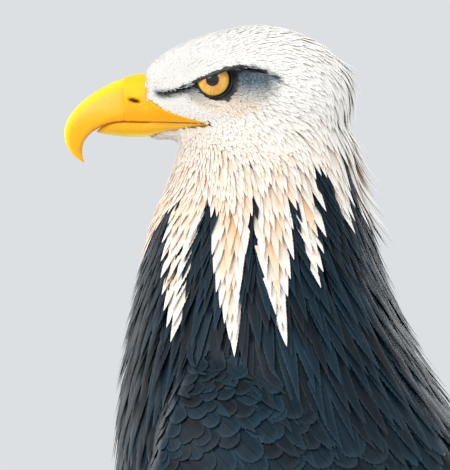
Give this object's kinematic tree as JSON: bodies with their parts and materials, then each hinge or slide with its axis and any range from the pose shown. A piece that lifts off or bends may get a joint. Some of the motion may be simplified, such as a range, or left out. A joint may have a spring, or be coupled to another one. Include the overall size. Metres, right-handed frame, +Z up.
{
  "type": "bald eagle",
  "caption": "Whole adult bald eagle, life size, standing upright on flat ground with folded wings, a level head in profile, hooked bill and hanging neck hackles.",
  "frame": {"origin": "on the floor, under the middle of the bird's bounding box", "axes": "+Z up, -Y the way the bird faces, +X the bird's left side"},
  "size_m": [0.2528, 0.4686, 0.6855],
  "materials": {
    "white_plumage": "soft layered feathers",
    "dark_plumage": "layered feathers, slight sheen",
    "bill_horn": "smooth horn, satin",
    "cere_skin": "smooth waxy skin",
    "foot_skin": "scaled skin",
    "claw_horn": "polished horn",
    "eye": "wet, glossy"
  },
  "bodies": {
    "root": {"head": "white_plumage", "neck": "white_plumage", "tail": "white_plumage", "trunk": "dark_plumage", "cere": "cere_skin", "bill_upper": "bill_horn", "bill_lower": "bill_horn", "eye_left": "eye", "eye_right": "eye", "wing_left_coverts": "dark_plumage", "wing_left_secondaries": "dark_plumage", "wing_left_primaries": "dark_plumage", "thigh_left": "dark_plumage", "tarsus_left": "foot_skin", "toe_left_hallux": "foot_skin", "claw_left_hallux": "claw_horn", "toe_left_inner": "foot_skin", "claw_left_inner": "claw_horn", "toe_left_middle": "foot_skin", "claw_left_middle": "claw_horn", "toe_left_outer": "foot_skin", "claw_left_outer": "claw_horn", "wing_right_coverts": "dark_plumage", "wing_right_secondaries": "dark_plumage", "wing_right_primaries": "dark_plumage", "thigh_right": "dark_plumage", "tarsus_right": "foot_skin", "toe_right_hallux": "foot_skin", "claw_right_hallux": "claw_horn", "toe_right_inner": "foot_skin", "claw_right_inner": "claw_horn", "toe_right_middle": "foot_skin", "claw_right_middle": "claw_horn", "toe_right_outer": "foot_skin", "claw_right_outer": "claw_horn"}
  },
  "joints": []
}
